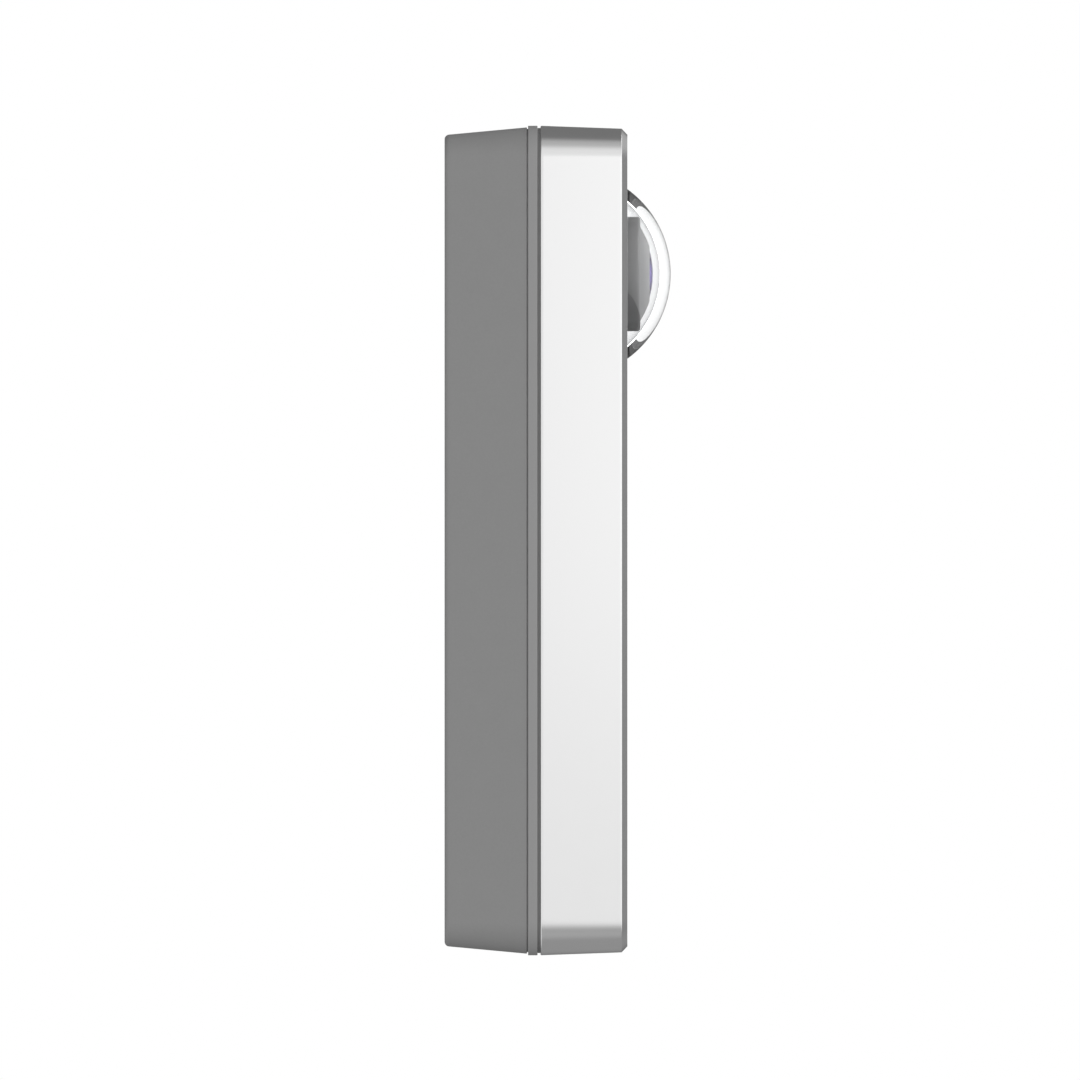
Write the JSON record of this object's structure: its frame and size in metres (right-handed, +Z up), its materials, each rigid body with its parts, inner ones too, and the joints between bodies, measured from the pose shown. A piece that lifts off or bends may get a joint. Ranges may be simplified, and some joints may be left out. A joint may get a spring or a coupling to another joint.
{
  "type": "video doorbell",
  "caption": "Surface-mounted video doorbell: metal front shell with a clear camera dome, call button, motion sensor and speaker grille on a wall box.",
  "frame": {"origin": "centre of the wall-screw pattern in the wall box's back face", "axes": "+Z up the wall, the front faces -Y, +Y into the wall, +X to the right as seen from the street"},
  "size_m": [0.075, 0.0428, 0.157],
  "materials": {
    "box_plastic": "fine moulded texture",
    "cover_plastic": "fine moulded texture",
    "shell_metal": "satin, vertically brushed",
    "dome_clear": "clear polished moulding",
    "trim_grey": "satin paint on moulded plastic",
    "black_plastic": "matt moulded",
    "dark_window": "polished, passes infrared",
    "rubber": "matt",
    "silicone": "matt",
    "lens_glass": "coated",
    "filter_glass": "polished",
    "button_steel": "circularly brushed",
    "bezel_steel": "satin turned",
    "light_guide": "milky diffuser",
    "sensor_plastic": "milky moulded",
    "screw_steel": "plated",
    "board_green": "solder resist",
    "chip_black": "moulded epoxy",
    "can_steel": "tin plated",
    "magnet_steel": "nickel plated",
    "copper_wire": "enamelled winding",
    "cone_film": "pressed film",
    "mesh_cloth": "woven acoustic mesh",
    "foam": "closed-cell foam",
    "relay_blue": "moulded",
    "can_blue": "sleeved can",
    "terminal_green": "moulded",
    "film_amber": "flexible circuit",
    "led_white": "moulded package"
  },
  "bodies": {
    "housing": {"rear_housing": "box_plastic", "wall_seal": "rubber", "cable_grommet": "rubber", "security_screw": "screw_steel", "back_cover": "cover_plastic", "perimeter_gasket": "rubber", "front_shell": "shell_metal", "unit_screws": "screw_steel", "dome": "dome_clear", "dome_gasket": "rubber", "ir_window": "dark_window", "ir_board": "board_green", "ir_leds": "led_white", "dome_retainer": "black_plastic", "camera_trim": "trim_grey", "front_lens": "lens_glass", "lens_barrel": "black_plastic", "inner_lenses": "lens_glass", "lens_holder": "black_plastic", "filter_coil": "copper_wire", "image_sensor": "chip_black", "camera_board": "board_green", "camera_ribbon": "film_amber", "small_screws": "screw_steel", "pir_lens": "sensor_plastic", "pir_holder": "sensor_plastic", "pir_sensor": "can_steel", "light_pipe": "light_guide", "light_sensor": "chip_black", "button_bezel": "bezel_steel", "button_light_ring": "light_guide", "button_boot": "silicone", "tact_switch": "chip_black", "button_leds": "led_white", "button_board": "board_green", "speaker_mesh": "mesh_cloth", "speaker_gasket": "foam", "speaker_frame": "black_plastic", "speaker_surround": "silicone", "speaker_magnet": "magnet_steel", "speaker_pole": "magnet_steel", "speaker_yoke": "magnet_steel", "mic_boot": "rubber", "microphone": "can_steel", "main_board": "board_green", "shield_can": "can_steel", "board_chips": "chip_black", "capacitors": "can_blue", "relay": "relay_blue", "terminal_block": "terminal_green", "network_jack": "can_steel", "wifi_antenna": "film_amber"},
    "button": {"call_button": "button_steel"},
    "switch_plunger": {"switch_stem": "chip_black"},
    "speaker_diaphragm": {"speaker_cone": "cone_film", "voice_coil": "copper_wire"},
    "filter_shuttle": {"filter_slide": "black_plastic", "ir_cut_glass": "filter_glass", "clear_glass": "filter_glass"},
    "filter_arm": {"filter_rotor": "magnet_steel"}
  },
  "joints": [
    {"name": "button_press", "type": "slide", "parent": "housing", "child": "button", "axis": [0, 1, 0], "range_m": [0, 0.00065], "stiffness_N_per_m": 2500, "springref_m": -0.0002, "deforming": ["button_boot"]},
    {"name": "switch_travel", "type": "slide", "parent": "housing", "child": "switch_plunger", "axis": [0, 1, 0], "range_m": [0, 0.00065]},
    {"name": "speaker_stroke", "type": "slide", "parent": "housing", "child": "speaker_diaphragm", "axis": [0, -1, 0], "range_m": [-0.0004, 0.0004], "stiffness_N_per_m": 1000, "deforming": ["speaker_surround"]},
    {"name": "filter_shift", "type": "slide", "parent": "housing", "child": "filter_shuttle", "axis": [1, 0, 0], "range_m": [0, 0.00636]},
    {"name": "filter_turn", "type": "hinge", "parent": "housing", "child": "filter_arm", "pos_m": [0, -0.025, 0.04145], "axis": [0, 1, 0], "range_deg": [0, 90]}
  ],
  "couplings": [
    {"joint": "switch_travel", "follows": "button_press", "ratio": 1},
    {"joint": "filter_turn", "follows": "filter_shift", "rad_per_m": 246.9}
  ]
}
